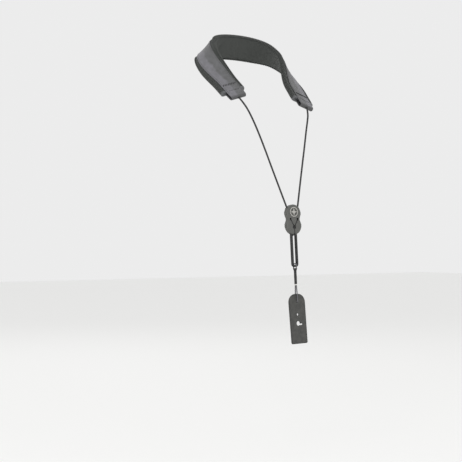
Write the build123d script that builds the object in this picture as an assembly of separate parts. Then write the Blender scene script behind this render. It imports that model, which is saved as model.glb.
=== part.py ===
from build123d import *
import os
from math import cos, pi, radians, sin, tan

# Neck strap for a clarinet-type wind instrument, in millimetres.
# X is sideways (the wearer's right is -X), -Y is the front, +Z is up.
# The origin is the middle of the pad's inner face, where it rests on the nape of the neck.

# ---- neck pad -------------------------------------------------------------------------------
PAD_WIDTH = 36.8                # over the edge bindings
LINING_THICK = 1.0
FOAM_THICK = 4.2
COVER_THICK = 1.2
LAYER_GAP = 0.1                 # between layers that lie on each other
EDGE_GAP = 0.35                 # between the layers and the edge bindings
BINDING_WIDE = 1.1              # edge binding, across the pad
END_BINDING_LONG = 1.1          # end binding, along the pad
FOAM_SET_BACK = 9.0             # the foam stops this far inside each end of the pad
STATIONS = 14                   # sections on each side of the nape

SIDE_POINT = Vector(57.5, -16.5, -15)       # pad's middle line where it passes the neck's side
SIDE_TANGENT = Vector(0.45, -0.68, -0.56)
FRONT_POINT = Vector(55, -81, -79)          # nominal front end of the pad's middle line
FRONT_TANGENT = Vector(-0.14, -0.735, -0.66)
NAPE_ACROSS = Vector(0, 0.45, -0.89)        # direction across the pad, top edge to bottom edge
SIDE_ACROSS = Vector(0.56, 0.42, -0.71)
FRONT_ACROSS = Vector(0.96, 0.10, -0.25)
STRAIGHT_END = 20.0             # flat stretch at each front end
BAND_SHIFT = 7.0                # the pad lies this far towards the wearer's left

# ---- leather strip with its folded ends --------------------------------------------------------
STRIP_WIDTH = 25.0
STRIP_THICK = 1.2
TUNNEL_REACH = 15.0             # how far the folded end stands out past the pad
RETURN_ABOVE_LINING = 0.5       # the return leg lies between the lining and the cover
TUCK_LENGTH = 8.0               # the return leg is sewn in this far inside the pad
SLOT_CLEARANCE = 0.3
TACK_DISTANCE = 11.0            # bar-tack row, back from the end of the pad
TACK_STITCHES = 8
STITCH_LONG = 2.6
STITCH_WIDE = 0.55
STITCH_HIGH = 0.3
STITCH_SLANT = 28.0             # degrees from the strip's length
TACK_MARGIN = 3.2               # end stitches, in from the strip's edges

# ---- cords ------------------------------------------------------------------------------------
CORD_RADIUS = 1.22
CORD_HOLE_CLEARANCE = 0.25
KNOT_CLEARANCE = 0.15           # between the tail's knot and the fold it sits in
KNOT_LONG = 7.0
KNOT_ROUNDING = 0.6             # of the knot's radius
JOINT_GAP = 0.3                 # between cord ends that belong to different bodies
STUB_PROUD = 0.5                # the knotted tail stands this far out of the fold

# ---- slider, in its own frame: top middle at 0, front is -Y --------------------------------------
CHAIN_TOP = Vector(0, -136, -226.3)
CHAIN_LEAN = 4.5                # degrees, the bottom stands forward
SLIDER_HEIGHT = 40.8
UPPER_LOBE_RADIUS = 11.9
LOWER_LOBE_RADIUS = 12.2
WAIST_FILLET = 6.0
WAIST_HALF_WIDTH = 8.4
SLOT_WALL = 0.51                # between the loop slots and the slider's faces
SLIDER_EDGE = 1.1
GRIP_PROUD = 0.6
GRIP_LONG = 5.0
GRIP_THICK = 4.0
SHOULDER_X = 8.8                # cord entries
SHOULDER_DROP = 5.8
COLLAR_WALL = 0.9
COLLAR_PROUD = 1.6
COLLAR_ROOT = 3.0               # the collar starts this far inside the moulding
WINDOW_X = 5.8
WINDOW_DROP = 20.0
WINDOW_HIGH = 3.4
BEND_ABOVE_WINDOW = 1.3         # the cord turns forward here, above the window's middle
BEND_BELOW_WINDOW = 1.9         # and lies down in its face channel here, below it
THREAD_BEND_SHARE = 2.5         # of the cord's radius, at both bends
EYE_RADIUS = 2.7                # middle hole
EYE_DROP = 30.6
EYE_END_ABOVE = 2.2             # the threaded cords end this far above the eye's middle
EYE_END_BELOW = 1.2             # the knotted ends start this far below the eye's middle
CORD_SIDE_CLEARANCE = 0.2
SLOT_HIGH = 6.0                 # loop slots, up from the slider's bottom
LOOP_TOP_GAP = 1.0              # between a loop's end and the top of its slot
BADGE_RADIUS = 6.6
BADGE_RING = 1.1
STAR_POINT_RADIUS = 5.8
STAR_WAIST_RADIUS = 1.7
STAR_POINTS = 4
BADGE_THICK = 0.7
BADGE_INSET = 0.3
BADGE_DROP = 10.2
END_KNOT_RADIUS = 1.9

# ---- doubled loop, link and tab ------------------------------------------------------------------
LOOP_HALF_WIDTH = 3.7
LOOP_PAIR_GAP = 0.1             # between the front and back loops
LOOP_BOTTOM_DROP = 83.4         # middle line of the loops' bottom, below the slider's top
LOOP_BEND_SHARE = 0.98          # of the loop's half width
LINK_RADIUS = 0.8
LINK_EYE_CLEARANCE = 0.12
LINK_EYE_BEND_SHARE = 0.96      # of the eye's radius
LINK_NECK_ABOVE_SLEEVE = 1.2    # the strands part here, above the sleeve
LINK_NECK_BENDS = (2.0, 2.6)    # radii where they leave the sleeve and enter the eye
LINK_SPREAD_BENDS = (12.0, 12.0)  # radii where they spread below the sleeve to pass the tab
LINK_SPREAD_BELOW_FERRULE = 1.5
LINK_FOOT_BEND_SHARE = 1.4      # of the link cord's radius, beside the tab's hole
LINK_RISE_ABOVE_TAB = 1.0       # the strands stand straight up to here, over the tab's top
SLEEVE_TOP_BELOW = 5.6          # below the loops' bottom
SLEEVE_LONG = 18.6
SLEEVE_WALL = 0.45
SLEEVE_CLEARANCE = 0.1
TAB_SIDE_CLEARANCE = 0.15       # between the link cord and the tab's faces
STRAND_HALF_GAP = 1.12          # half the distance between the strands in the sleeve
FERRULE_LONG = 1.4
FERRULE_WALL = 0.3
LINK_HOLE_DROP = 132.1
TAB_TOP_ABOVE_HOLE = 11.4
TAB_LENGTH = 67.0
TAB_TOP_WIDTH = 27.2
TAB_BOTTOM_WIDTH = 26.6
TAB_TURN = 1.8                  # degrees, its foot hangs towards the wearer's left
TAB_THICK = 2.0
TAB_TOP_RADIUS = 11.5
TAB_CORNER_RADIUS = 2.2
TAB_EDGE = 0.4
LINK_HOLE_RADIUS = 1.35
SMALL_HOLE_RADIUS = 1.7
SMALL_HOLE_BELOW = 16.4         # below the link's hole
HOOK_HOLE_RADIUS = 3.25
HOOK_HOLE_BELOW = 28.4
SLIT_REACH = 7.4
SLIT_HIGH = 1.9
SLIT_BELOW = 1.4                # slit, below the middle of the hook hole
SLIT_ROUNDING = 0.45            # of the slit's height

# The neck cords' routes, from just outside the fold to the slider's shoulder. The first and the
# last points are worked out from the fold and the slider.
RIGHT_ROUTE = [(-51.6, -99.5, -91.5), (-47.2, -105.6, -104.5), (-42.0, -111.2, -121.0),
               (-34.5, -117.8, -146.0), (-24.5, -125.2, -180.0)]
LEFT_ROUTE = [(50.6, -107.0, -99.5), (46.9, -110.2, -110.0), (42.2, -113.2, -124.0),
              (34.7, -118.8, -148.0), (24.5, -125.4, -181.0)]

PAD_THICK = LINING_THICK + FOAM_THICK + COVER_THICK + 2 * LAYER_GAP
STRIP_BASE = PAD_THICK + LAYER_GAP
STRIP_TOP = STRIP_BASE + STRIP_THICK
RETURN_BASE = LINING_THICK + RETURN_ABOVE_LINING
TUNNEL_HEIGHT = STRIP_BASE - RETURN_BASE - STRIP_THICK      # clear height inside the fold
FOLD_RADIUS = TUNNEL_HEIGHT / 2 + STRIP_THICK
FOLD_HEIGHT = STRIP_TOP - FOLD_RADIUS           # middle of the fold, out of the pad
KNOT_RADIUS = TUNNEL_HEIGHT / 2 - KNOT_CLEARANCE
INNER_HALF = PAD_WIDTH / 2 - BINDING_WIDE - EDGE_GAP
LOOP_OFFSET = CORD_RADIUS + LOOP_PAIR_GAP / 2
SLOT_HALF_DEEP = LOOP_OFFSET + CORD_RADIUS + CORD_SIDE_CLEARANCE
SLIDER_THICK = 2 * (SLOT_HALF_DEEP + SLOT_WALL)
RIGHT, LEFT = -1, 1
SAME = 0.01                     # places closer than this are the same place

os.makedirs("parts", exist_ok=True)


def save(shape, name):
    export_step(shape, f"parts/{name}.step")


# ---- the pad's middle line and its sections --------------------------------------------------------

FRONT_START = FRONT_POINT - FRONT_TANGENT.normalized() * STRAIGHT_END
HALF_LINE = Spline(
    Vector(0, 0, 0), SIDE_POINT, FRONT_START,
    tangents=[Vector(1, 0, 0), SIDE_TANGENT.normalized(), FRONT_TANGENT.normalized()],
)
SIDE_SHARE = HALF_LINE.param_at_point(SIDE_POINT)


def side_of(vector, side):
    """The same vector on the wearer's left, or mirrored to the right."""
    return Vector(side * vector.X, vector.Y, vector.Z)


def blend_directions(first, second, share):
    eased = share * share * (3 - 2 * share)
    return first * (1 - eased) + second * eased


def across_at(share, tangent):
    """Direction across the pad at a share of the half line, square to its length."""
    if share < SIDE_SHARE:
        across = blend_directions(NAPE_ACROSS, SIDE_ACROSS, share / SIDE_SHARE)
    else:
        across = blend_directions(
            SIDE_ACROSS, FRONT_ACROSS, (share - SIDE_SHARE) / (1 - SIDE_SHARE)
        )
    return (across - tangent * across.dot(tangent)).normalized()


def station(share):
    """Point, across and outward directions at a signed share: -1 right front, +1 left front."""
    side = LEFT if share >= 0 else RIGHT
    tangent = HALF_LINE % abs(share)
    across = across_at(abs(share), tangent)
    outward = tangent.cross(across).normalized()
    return [side_of(v, side) for v in (HALF_LINE @ abs(share), across, outward)]


def front_end(side):
    """Plane at the pad's front end: X along the pad to the front, Z out of the pad."""
    tangent = FRONT_TANGENT.normalized()
    across = across_at(1, tangent)
    outward = tangent.cross(across).normalized()
    length = STRAIGHT_END + side * BAND_SHIFT
    point = side_of(FRONT_START + tangent * length, side)
    return Plane(origin=point, x_dir=side_of(tangent, side), z_dir=side_of(outward, side)), length


def rectangle_at(share, low, high, first, last):
    """Section of a layer, from first to last across the pad and low to high out of it."""
    point, across, outward = station(share)
    corners = [(first, low), (last, low), (last, high), (first, high)]
    return Face(Wire.make_polygon([point + across * w + outward * h for w, h in corners]))


def front_block(side, start, stop, low, high, first, last):
    """Box in the flat front end, from start to stop along it, measured from the pad's end."""
    plane, _ = front_end(side)
    if side == RIGHT:
        first, last = -last, -first
    box = Box(stop - start, last - first, high - low)
    middle = Location(((start + stop) / 2, (first + last) / 2, (low + high) / 2))
    return plane.location * middle * box


def layer(low, high, first, last, set_back=0.0):
    """A layer that follows the whole pad, with flat ends."""
    shares = [k / STATIONS for k in range(-STATIONS, STATIONS + 1)]
    solid = loft([rectangle_at(share, low, high, first, last) for share in shares])
    for side in (RIGHT, LEFT):
        _, length = front_end(side)
        solid = solid + front_block(side, -length, -set_back, low, high, first, last)
    return solid


def make_pad():
    lining_top = LINING_THICK
    foam_base = lining_top + LAYER_GAP
    foam_top = foam_base + FOAM_THICK
    cover_base = foam_top + LAYER_GAP
    save(layer(0, lining_top, -INNER_HALF, INNER_HALF), "pad_lining")
    save(layer(foam_base, foam_top, -INNER_HALF, INNER_HALF, FOAM_SET_BACK), "pad_foam")
    save(layer(cover_base, PAD_THICK, -INNER_HALF, INNER_HALF), "pad_cover")
    outer = PAD_WIDTH / 2
    inner = outer - BINDING_WIDE
    save(layer(0, PAD_THICK, -outer, -inner), "upper_edge_binding")
    save(layer(0, PAD_THICK, inner, outer), "lower_edge_binding")


def make_end_binding(side, name):
    outer = PAD_WIDTH / 2
    start = LAYER_GAP
    binding = front_block(side, start, start + END_BINDING_LONG, 0, PAD_THICK, -outer, outer)
    half = STRIP_WIDTH / 2 + SLOT_CLEARANCE
    slot = front_block(
        side, 0, start + 2 * END_BINDING_LONG, RETURN_BASE - SLOT_CLEARANCE,
        RETURN_BASE + STRIP_THICK + SLOT_CLEARANCE, -half, half,
    )
    save(binding - slot, name)


# ---- leather strip -------------------------------------------------------------------------------


def fold_solid(side):
    """The folded end: top leg, half-round fold with its cord hole, and the return leg."""
    plane, length = front_end(side)
    centre = TUNNEL_REACH - FOLD_RADIUS
    half = STRIP_WIDTH / 2
    top_leg = front_block(side, -length, centre, STRIP_BASE, STRIP_TOP, -half, half)
    return_leg = front_block(
        side, -TUCK_LENGTH, centre, RETURN_BASE, RETURN_BASE + STRIP_THICK, -half, half
    )
    turn = Cylinder(FOLD_RADIUS, STRIP_WIDTH, rotation=(90, 0, 0))
    turn -= Cylinder(FOLD_RADIUS - STRIP_THICK, STRIP_WIDTH, rotation=(90, 0, 0))
    front_half = Location((FOLD_RADIUS, 0, 0)) * Box(
        2 * FOLD_RADIUS, STRIP_WIDTH, 2 * FOLD_RADIUS
    )
    turn = plane.location * Location((centre, 0, FOLD_HEIGHT)) * (turn & front_half)
    hole = Cylinder(CORD_RADIUS + CORD_HOLE_CLEARANCE, 2 * FOLD_RADIUS, rotation=(0, 90, 0))
    hole = plane.location * Location((TUNNEL_REACH, 0, FOLD_HEIGHT)) * hole
    return (top_leg + return_leg + turn) - hole


def make_strip():
    half = STRIP_WIDTH / 2
    shares = [k / STATIONS for k in range(-STATIONS, STATIONS + 1)]
    sections = [rectangle_at(share, STRIP_BASE, STRIP_TOP, -half, half) for share in shares]
    strip = loft(sections)
    for side in (RIGHT, LEFT):
        strip = strip + fold_solid(side)
    save(strip, "leather_strip")


def make_bar_tack(side, name):
    """A row of slanted stitches across the strip."""
    plane, _ = front_end(side)
    pitch = (STRIP_WIDTH - 2 * TACK_MARGIN) / (TACK_STITCHES - 1)
    stitch = Box(STITCH_LONG, STITCH_WIDE, STITCH_HIGH, rotation=(0, 0, STITCH_SLANT))
    height = STRIP_TOP + LAYER_GAP / 2 + STITCH_HIGH / 2
    stitches = [
        plane.location
        * Location((-TACK_DISTANCE, (k - (TACK_STITCHES - 1) / 2) * pitch, height))
        * stitch
        for k in range(TACK_STITCHES)
    ]
    save(Compound(children=stitches), name)


# ---- cords --------------------------------------------------------------------------------------


def corner_radii(points):
    """Each arc is as large as its two runs allow: 0.45 of the shorter over tan of half the turn."""
    radii = []
    for before, here, after in zip(points, points[1:], points[2:]):
        turn = radians((here - before).get_angle(after - here))
        shorter = min((here - before).length, (after - here).length)
        radii.append(0.45 * shorter / tan(turn / 2))
    return radii


def tube(points, radius, name, radii=None):
    """A round cord along straight runs joined by tangent arcs."""
    points = [Vector(p) for p in points]
    radii = radii or corner_radii(points)
    path = FilletPolyline(*points, radius=radii)
    solid = sweep(Plane(path @ 0, z_dir=path % 0) * Circle(radius), path=path)
    expected = pi * radius**2 * path.length
    print(name, "length", round(path.length, 1), "volume ratio", round(solid.volume / expected, 4),
          "radii", [round(r, 1) for r in radii])
    return solid


def fold_mouth(side):
    """Where the cord leaves the fold, and its direction."""
    plane, _ = front_end(side)
    return plane.from_local_coords((TUNNEL_REACH, 0, FOLD_HEIGHT)), plane


def cord_pivot(side):
    """Middle of the neck cord's round upper end, on which it swings."""
    mouth, plane = fold_mouth(side)
    return mouth + plane.x_dir * (STUB_PROUD + JOINT_GAP + CORD_RADIUS)


def make_cord_knot(side, name):
    """The cord's knotted tail: a knot across the tunnel, and a stub through the cord hole."""
    _, plane = fold_mouth(side)
    seat = TUNNEL_REACH - STRIP_THICK - KNOT_RADIUS - LAYER_GAP
    knot = Cylinder(KNOT_RADIUS, KNOT_LONG, rotation=(90, 0, 0))
    knot = fillet(knot.edges(), KNOT_RADIUS * KNOT_ROUNDING)
    knot = plane.location * Location((seat, 0, FOLD_HEIGHT)) * knot
    stub_end = TUNNEL_REACH + STUB_PROUD
    stub = Cylinder(CORD_RADIUS, stub_end - seat, rotation=(0, 90, 0))
    stub = plane.location * Location(((seat + stub_end) / 2, 0, FOLD_HEIGHT)) * stub
    save(knot + stub, name)


CHAIN = Plane(
    origin=CHAIN_TOP, x_dir=(1, 0, 0),
    z_dir=(0, sin(radians(CHAIN_LEAN)), cos(radians(CHAIN_LEAN))),
)
SHOULDER_WAY = Vector(SHOULDER_X - WINDOW_X, 0, WINDOW_DROP - SHOULDER_DROP).normalized()


def collar_mouth(side):
    """Mouth of the slider's cord entry, in the slider's frame."""
    mouth = Vector(SHOULDER_X, 0, -SHOULDER_DROP) + SHOULDER_WAY * COLLAR_PROUD
    return side_of(mouth, side)


def make_neck_cord(side, route, name):
    end = CHAIN.from_local_coords(collar_mouth(side) + side_of(SHOULDER_WAY, side) * JOINT_GAP)
    pivot = cord_pivot(side)
    cord = tube([pivot, *route, end], CORD_RADIUS, name)
    cord = cord + Location(pivot) * Sphere(CORD_RADIUS)
    save(cord, name)


# ---- slider ------------------------------------------------------------------------------------


def rod(start, end, radius):
    """A straight round bar between two points."""
    start, end = Vector(start), Vector(end)
    way = end - start
    return Plane(start, z_dir=way).location * Cylinder(
        radius, way.length, align=(Align.CENTER, Align.CENTER, Align.MIN)
    )


UPPER_MIDDLE = -UPPER_LOBE_RADIUS
LOWER_MIDDLE = -SLIDER_HEIGHT + LOWER_LOBE_RADIUS
CHANNEL_RADIUS = CORD_RADIUS + CORD_SIDE_CLEARANCE
CHANNEL_Y = -(SLIDER_THICK / 2 - CORD_RADIUS)   # cords in the face channels lie just below the face


def slider_blank():
    """The two-lobed moulding, its grips and its cord collars, before any holes."""
    front = Plane.XZ
    outline = front * (Pos(0, UPPER_MIDDLE) * Circle(UPPER_LOBE_RADIUS))
    outline += front * (Pos(0, LOWER_MIDDLE) * Circle(LOWER_LOBE_RADIUS))
    waist_middle = (UPPER_MIDDLE + LOWER_MIDDLE) / 2
    outline += front * (
        Pos(0, waist_middle) * Rectangle(2 * WAIST_HALF_WIDTH, UPPER_MIDDLE - LOWER_MIDDLE)
    )
    outline = outline.faces()[0]
    waist = [
        v for v in outline.vertices() if LOWER_MIDDLE + SAME < v.Z < UPPER_MIDDLE - SAME
    ]
    outline = fillet(waist, WAIST_FILLET)
    body = extrude(outline, SLIDER_THICK / 2, dir=(0, 1, 0), both=True)
    rims = [e for e in body.edges() if abs(abs(e.center().Y) - SLIDER_THICK / 2) < SAME]
    body = fillet(rims, SLIDER_EDGE)
    for middle, lobe in ((UPPER_MIDDLE, UPPER_LOBE_RADIUS), (LOWER_MIDDLE, LOWER_LOBE_RADIUS)):
        for side in (RIGHT, LEFT):
            inner, outer = lobe / 2, lobe + GRIP_PROUD
            grip = Box(outer - inner, GRIP_THICK, GRIP_LONG)
            grip = fillet(grip.edges().filter_by(Axis.Y), GRIP_PROUD)
            body += Pos(side * (inner + outer) / 2, 0, middle) * grip
    for side in (RIGHT, LEFT):
        mouth = collar_mouth(side)
        root = Vector(SHOULDER_X, 0, -SHOULDER_DROP) - SHOULDER_WAY * COLLAR_ROOT
        body += rod(side_of(root, side), mouth, CHANNEL_RADIUS + COLLAR_WALL)
    return body


def thread_points(side):
    """Corners of a cord's way through the slider: collar, two bends at the window, the eye."""
    way_along_face = Vector(WINDOW_X, 0, EYE_DROP - WINDOW_DROP).normalized()
    lower_bend = Vector(WINDOW_X, CHANNEL_Y, -WINDOW_DROP)
    lower_bend -= way_along_face * (BEND_BELOW_WINDOW / way_along_face.Z)
    points = [
        collar_mouth(LEFT),
        Vector(WINDOW_X, 0, -WINDOW_DROP) + SHOULDER_WAY * BEND_ABOVE_WINDOW,
        lower_bend,
        Vector(CORD_RADIUS + LAYER_GAP, CHANNEL_Y, -EYE_DROP + EYE_END_ABOVE),
    ]
    return [side_of(p, side) for p in points]


def make_slider():
    body = slider_blank()
    reach = SLIDER_THICK                        # any cutter's depth past the faces
    for side in (RIGHT, LEFT):
        mouth, upper_bend, lower_bend, eye_end = thread_points(side)
        start = mouth + side_of(SHOULDER_WAY, side)
        window = Vector(side * WINDOW_X, 0, -WINDOW_DROP)
        cut_y = -reach / 2 + CHANNEL_RADIUS / 2
        body -= Pos(window.X, cut_y, window.Z) * Box(
            2 * CHANNEL_RADIUS, reach + CHANNEL_RADIUS, WINDOW_HIGH
        )
        for corner in (upper_bend, lower_bend):
            body -= Location(corner) * Sphere(CHANNEL_RADIUS)
        body -= rod(start, upper_bend, CHANNEL_RADIUS)
        body -= rod(upper_bend, lower_bend, CHANNEL_RADIUS)
        body -= rod(lower_bend, eye_end + (eye_end - lower_bend).normalized(), CHANNEL_RADIUS)
    for face in (-1, 1):
        groove_y = face * -CHANNEL_Y
        below = -SLIDER_HEIGHT - reach
        body -= rod((0, groove_y, -EYE_DROP), (0, groove_y, below), CHANNEL_RADIUS)
        body -= Pos(0, groove_y, -SLIDER_HEIGHT) * Sphere(END_KNOT_RADIUS + CORD_SIDE_CLEARANCE)
    body -= Pos(0, 0, -EYE_DROP) * Cylinder(EYE_RADIUS, 2 * reach, rotation=(90, 0, 0))
    for side in (RIGHT, LEFT):
        slot = Box(2 * CHANNEL_RADIUS, 2 * SLOT_HALF_DEEP, 2 * SLOT_HIGH)
        slot = fillet(slot.edges().filter_by(Axis.Z), CHANNEL_RADIUS * 0.9)
        body -= Pos(side * LOOP_HALF_WIDTH, 0, -SLIDER_HEIGHT) * slot
    seat = Pos(0, -SLIDER_THICK / 2, -BADGE_DROP) * Cylinder(
        BADGE_RADIUS + LAYER_GAP, 2 * BADGE_INSET, rotation=(90, 0, 0)
    )
    save(CHAIN.location * (body - seat), "slider_body")


def make_badge():
    """A plain inlay: a ring round a four-pointed star."""
    disc = Cylinder(BADGE_RADIUS, BADGE_THICK, rotation=(90, 0, 0))
    window = Cylinder(BADGE_RADIUS - BADGE_RING, BADGE_THICK, rotation=(90, 0, 0))
    corners = []
    for k in range(2 * STAR_POINTS):
        reach = STAR_POINT_RADIUS if k % 2 == 0 else STAR_WAIST_RADIUS
        turn = k * pi / STAR_POINTS
        corners.append((reach * sin(turn), reach * cos(turn)))
    outline = Plane.XZ * make_face(Polyline(*corners, close=True))
    star = extrude(outline, BADGE_THICK / 2, dir=(0, 1, 0), both=True)
    badge = disc - window + star
    middle_y = -SLIDER_THICK / 2 + BADGE_INSET - LAYER_GAP / 2 - BADGE_THICK / 2
    save(CHAIN.location * Pos(0, middle_y, -BADGE_DROP) * badge, "slider_badge")


def make_threaded_cord(side, name):
    """The stretch inside the slider: down the shoulder, out of the window, along the V channel."""
    points = thread_points(side)
    bend = THREAD_BEND_SHARE * CORD_RADIUS
    save(CHAIN.location * tube(points, CORD_RADIUS, name, [bend, bend]), name)


def make_end_knot(face, name):
    """The cord's fixed end: out of the middle hole, down the face channel, into its knot."""
    y = face * -CHANNEL_Y
    top = Vector(0, y, -EYE_DROP - EYE_END_BELOW)
    knot = Pos(0, y, -SLIDER_HEIGHT) * Sphere(END_KNOT_RADIUS)
    save(CHAIN.location * (rod(top, (0, y, -SLIDER_HEIGHT), CORD_RADIUS) + knot), name)


# ---- loop, link and tab ------------------------------------------------------------------------


def make_loop_cord(face, name):
    y = face * LOOP_OFFSET
    top = -SLIDER_HEIGHT + SLOT_HIGH - LOOP_TOP_GAP
    bottom = -LOOP_BOTTOM_DROP
    half = LOOP_HALF_WIDTH
    points = [(-half, y, top), (-half, y, bottom), (half, y, bottom), (half, y, top)]
    bend = half * LOOP_BEND_SHARE
    save(CHAIN.location * tube(points, CORD_RADIUS, name, [bend, bend]), name)


LINK_EYE_RADIUS = LOOP_OFFSET + CORD_RADIUS + LINK_EYE_CLEARANCE + LINK_RADIUS
SLEEVE_TOP = -LOOP_BOTTOM_DROP - SLEEVE_TOP_BELOW
SLEEVE_BOTTOM = SLEEVE_TOP - SLEEVE_LONG
TAB_SIDE = TAB_THICK / 2 + LINK_RADIUS + TAB_SIDE_CLEARANCE


def oval(half_long, half_short, high, bottom):
    """An upright bar with an oval section, long from front to back."""
    straight = half_long - half_short
    section = SlotCenterToCenter(2 * straight, 2 * half_short, rotation=90)
    return extrude(Pos(0, 0, bottom) * section, high)


def make_link():
    eye_top = -LOOP_BOTTOM_DROP + LINK_EYE_RADIUS
    points = [
        (0, 0, -LINK_HOLE_DROP),
        (0, -TAB_SIDE, -LINK_HOLE_DROP),
        (0, -TAB_SIDE, -LINK_HOLE_DROP + TAB_TOP_ABOVE_HOLE + LINK_RISE_ABOVE_TAB),
        (0, -STRAND_HALF_GAP, SLEEVE_BOTTOM - FERRULE_LONG - LINK_SPREAD_BELOW_FERRULE),
        (0, -STRAND_HALF_GAP, SLEEVE_TOP + LINK_NECK_ABOVE_SLEEVE),
        (0, -LINK_EYE_RADIUS, -LOOP_BOTTOM_DROP - 0.5 * LINK_EYE_RADIUS),
        (0, -LINK_EYE_RADIUS, eye_top),
        (0, 0, eye_top),
    ]
    radii = [
        LINK_FOOT_BEND_SHARE * LINK_RADIUS, *LINK_SPREAD_BENDS, *LINK_NECK_BENDS,
        LINK_EYE_BEND_SHARE * LINK_EYE_RADIUS,
    ]
    front = tube(points, LINK_RADIUS, "link_cord", radii)
    save(CHAIN.location * (front + mirror(front, Plane.XZ)), "link_cord")
    inner_long = STRAND_HALF_GAP + LINK_RADIUS + SLEEVE_CLEARANCE
    inner_short = LINK_RADIUS + SLEEVE_CLEARANCE
    for name, bottom, high, wall in (
        ("link_sleeve", SLEEVE_BOTTOM, SLEEVE_LONG, SLEEVE_WALL),
        ("link_ferrule", SLEEVE_BOTTOM - LAYER_GAP - FERRULE_LONG, FERRULE_LONG, FERRULE_WALL),
    ):
        ring = oval(inner_long + wall, inner_short + wall, high, bottom)
        ring -= oval(inner_long, inner_short, high, bottom)
        save(CHAIN.location * ring, name)


def make_tab():
    top = -LINK_HOLE_DROP + TAB_TOP_ABOVE_HOLE
    bottom = top - TAB_LENGTH
    corners = [
        (-TAB_TOP_WIDTH / 2, top), (TAB_TOP_WIDTH / 2, top),
        (TAB_BOTTOM_WIDTH / 2, bottom), (-TAB_BOTTOM_WIDTH / 2, bottom),
    ]
    outline = Plane.XZ * make_face(Polyline(*corners, close=True))
    outline = fillet([v for v in outline.vertices() if v.Z > bottom + SAME], TAB_TOP_RADIUS)
    outline = fillet([v for v in outline.vertices() if v.Z < bottom + SAME], TAB_CORNER_RADIUS)
    tab = extrude(outline, TAB_THICK / 2, dir=(0, 1, 0), both=True)
    rims = [e for e in tab.edges() if abs(abs(e.center().Y) - TAB_THICK / 2) < SAME]
    tab = fillet(rims, TAB_EDGE)
    hook_z = -LINK_HOLE_DROP - HOOK_HOLE_BELOW
    for radius, z in (
        (LINK_HOLE_RADIUS, -LINK_HOLE_DROP),
        (SMALL_HOLE_RADIUS, -LINK_HOLE_DROP - SMALL_HOLE_BELOW),
        (HOOK_HOLE_RADIUS, hook_z),
    ):
        tab -= Pos(0, 0, z) * Cylinder(radius, 2 * TAB_THICK, rotation=(90, 0, 0))
    slit = Box(SLIT_REACH, 2 * TAB_THICK, SLIT_HIGH)
    slit = fillet(slit.edges().filter_by(Axis.Y), SLIT_HIGH * SLIT_ROUNDING)
    tab -= Pos(SLIT_REACH / 2, 0, hook_z - SLIT_BELOW) * slit
    hole = Pos(0, 0, -LINK_HOLE_DROP)
    turned = hole * Rotation(0, -TAB_TURN, 0) * hole.inverse()
    save(CHAIN.location * turned * tab, "leather_tab")


make_pad()
make_strip()
for side, word, route in ((RIGHT, "right", RIGHT_ROUTE), (LEFT, "left", LEFT_ROUTE)):
    make_end_binding(side, f"{word}_end_binding")
    make_bar_tack(side, f"{word}_bar_tack")
    make_cord_knot(side, f"{word}_cord_knot")
    make_neck_cord(side, route, f"{word}_neck_cord")
    make_threaded_cord(side, f"{word}_threaded_cord")
make_slider()
make_badge()
for face, word in ((-1, "front"), (1, "back")):
    make_end_knot(face, f"{word}_end_knot")
    make_loop_cord(face, f"{word}_loop_cord")
make_link()
make_tab()
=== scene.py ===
from functools import partial
from math import cos, pi, radians, sin, sqrt, tau

import bmesh
import bpy
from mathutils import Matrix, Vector
from mathutils.noise import noise as soft_noise


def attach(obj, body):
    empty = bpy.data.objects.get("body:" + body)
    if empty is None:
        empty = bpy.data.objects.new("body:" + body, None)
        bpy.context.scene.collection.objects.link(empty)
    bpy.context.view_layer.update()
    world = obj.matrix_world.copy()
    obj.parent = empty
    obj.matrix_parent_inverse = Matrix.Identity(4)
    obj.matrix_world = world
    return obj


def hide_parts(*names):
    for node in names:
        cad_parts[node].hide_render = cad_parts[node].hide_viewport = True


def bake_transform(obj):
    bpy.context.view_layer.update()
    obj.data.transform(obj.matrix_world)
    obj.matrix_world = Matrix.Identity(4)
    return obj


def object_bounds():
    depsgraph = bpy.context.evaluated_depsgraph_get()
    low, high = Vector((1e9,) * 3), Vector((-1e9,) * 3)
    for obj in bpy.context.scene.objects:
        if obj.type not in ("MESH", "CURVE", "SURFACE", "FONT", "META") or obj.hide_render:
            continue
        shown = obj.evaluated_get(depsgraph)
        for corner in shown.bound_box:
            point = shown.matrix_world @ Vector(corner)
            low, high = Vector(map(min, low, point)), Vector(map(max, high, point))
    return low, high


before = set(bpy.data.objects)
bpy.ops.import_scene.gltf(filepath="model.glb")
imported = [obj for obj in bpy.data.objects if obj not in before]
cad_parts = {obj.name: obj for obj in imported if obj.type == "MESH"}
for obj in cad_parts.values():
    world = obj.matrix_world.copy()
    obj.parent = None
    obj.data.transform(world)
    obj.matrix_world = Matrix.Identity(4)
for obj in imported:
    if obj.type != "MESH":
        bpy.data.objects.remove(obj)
cad_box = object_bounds()

# ---- studio and camera ----
# The strap hangs as if worn, in front of a plain pale sweep. The camera stands a little to the
# wearer's right, level with the slider, on a long lens.
CAMERA_BEARING = radians(-35)
CAMERA_DISTANCE = 1.9
CAMERA_AIM = Vector((-0.0304, -0.0357, -0.262))
CAMERA_LENS = 105.75
STUDIO_AIR = 0.84
FLOOR_DROP = 0.16
FLOOR_REACH = 6.0
PAPER_WHITE = (0.93, 0.93, 0.92, 1)
view_way = Vector((-sin(CAMERA_BEARING), cos(CAMERA_BEARING), 0))

camera_data = bpy.data.cameras.new("camera")
camera_data.lens = CAMERA_LENS
camera_data.sensor_width = 36
camera = bpy.data.objects.new("camera", camera_data)
camera.location = CAMERA_AIM - view_way * CAMERA_DISTANCE
camera.rotation_euler = (pi / 2, 0, CAMERA_BEARING)
bpy.context.collection.objects.link(camera)
bpy.context.scene.camera = camera
bpy.context.scene.view_settings.view_transform = "Standard"

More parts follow.
